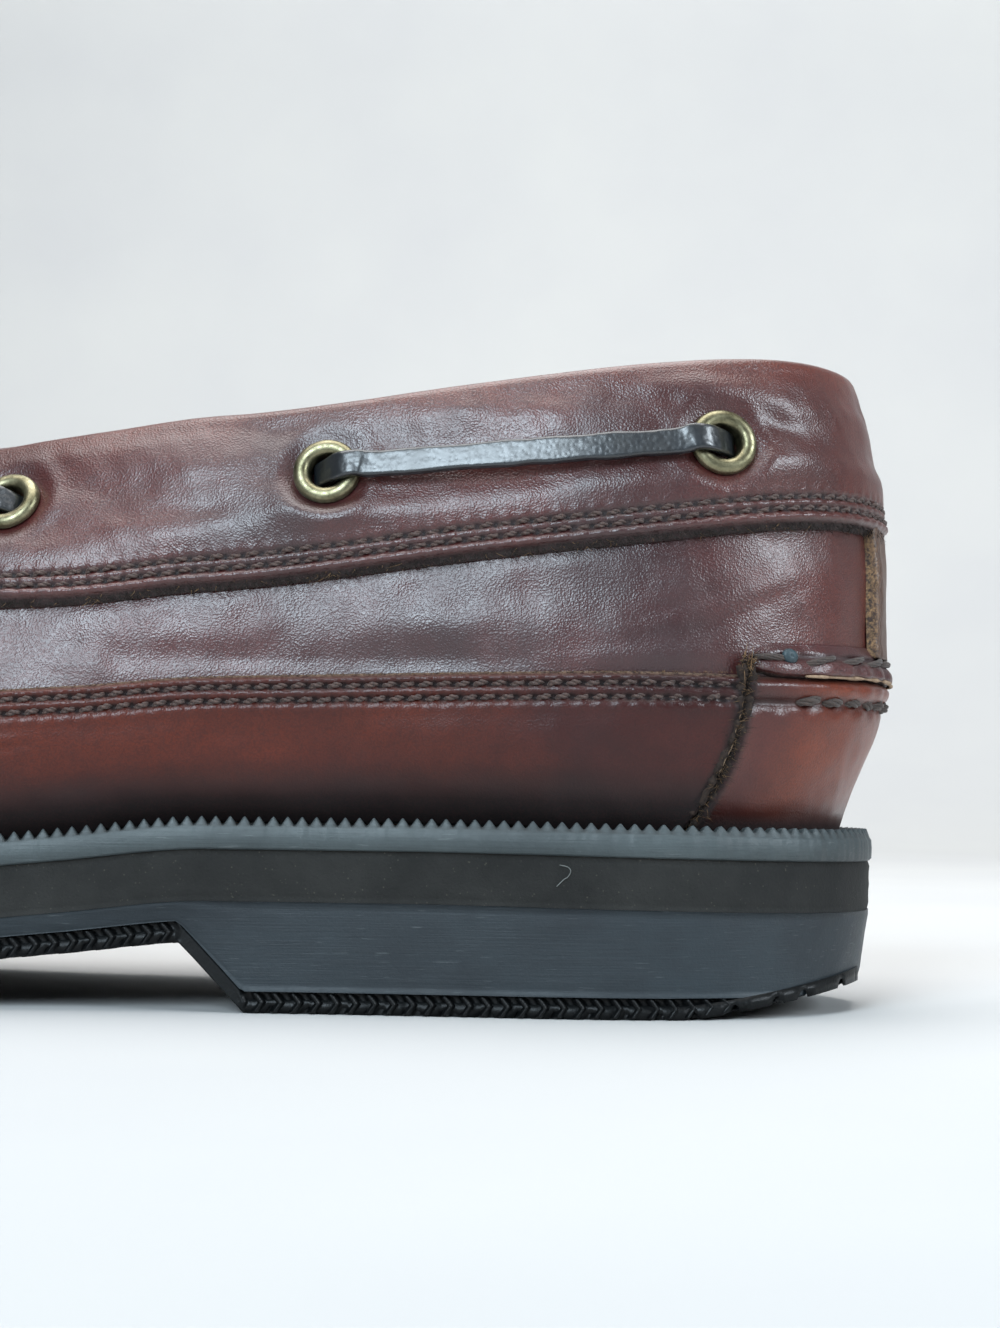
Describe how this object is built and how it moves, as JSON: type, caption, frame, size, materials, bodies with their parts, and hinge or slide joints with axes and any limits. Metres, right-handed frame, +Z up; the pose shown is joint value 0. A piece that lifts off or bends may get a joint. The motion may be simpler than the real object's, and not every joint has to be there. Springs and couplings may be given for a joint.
{
  "type": "boat shoe",
  "caption": "Low boat shoe for a left foot, with moccasin-sewn leather upper, side lace through brass eyelets and a layered rubber sole.",
  "frame": {"origin": "on the floor, under the middle of the shoe's bounding box", "axes": "+Z up, the toe towards -Y and the heel towards +Y, the outer side towards +X"},
  "size_m": [0.1112, 0.306, 0.0986],
  "materials": {
    "back_stay": "dull brown leather",
    "collar_band": "glossy pull-up leather",
    "eyelet_inner_1": "aged brass",
    "eyelet_inner_2": "aged brass",
    "eyelet_inner_3": "aged brass",
    "eyelet_inner_4": "aged brass",
    "eyelet_inner_5": "aged brass",
    "eyelet_inner_6": "aged brass",
    "eyelet_outer_1": "aged brass",
    "eyelet_outer_2": "aged brass",
    "eyelet_outer_3": "aged brass",
    "eyelet_outer_4": "aged brass",
    "eyelet_outer_5": "aged brass",
    "eyelet_outer_6": "aged brass",
    "heel_patch": "glossy red-brown leather",
    "insole": "tan footbed",
    "lace_inner_1": "dark waxed lace leather",
    "lace_inner_2": "dark waxed lace leather",
    "lace_outer_1": "dark waxed lace leather",
    "lace_outer_2": "dark waxed lace leather",
    "lace_throat_1": "dark waxed lace leather",
    "lace_throat_2": "dark waxed lace leather",
    "midsole": "dark speckled foam",
    "outsole": "blue-grey rubber",
    "plug": "glossy pull-up leather",
    "tongue": "glossy pull-up leather",
    "tread": "black rubber",
    "upper": "glossy pull-up leather",
    "welt": "grey-green rubber",
    "wrap": "glossy red-brown leather"
  },
  "bodies": {
    "root": {"back_stay": "back_stay", "collar_band": "collar_band", "eyelet_inner_1": "eyelet_inner_1", "eyelet_inner_2": "eyelet_inner_2", "eyelet_inner_3": "eyelet_inner_3", "eyelet_inner_4": "eyelet_inner_4", "eyelet_inner_5": "eyelet_inner_5", "eyelet_inner_6": "eyelet_inner_6", "eyelet_outer_1": "eyelet_outer_1", "eyelet_outer_2": "eyelet_outer_2", "eyelet_outer_3": "eyelet_outer_3", "eyelet_outer_4": "eyelet_outer_4", "eyelet_outer_5": "eyelet_outer_5", "eyelet_outer_6": "eyelet_outer_6", "heel_patch": "heel_patch", "insole": "insole", "lace_inner_1": "lace_inner_1", "lace_inner_2": "lace_inner_2", "lace_outer_1": "lace_outer_1", "lace_outer_2": "lace_outer_2", "lace_throat_1": "lace_throat_1", "lace_throat_2": "lace_throat_2", "midsole": "midsole", "outsole": "outsole", "plug": "plug", "tongue": "tongue", "tread": "tread", "upper": "upper", "welt": "welt", "wrap": "wrap"}
  },
  "joints": []
}
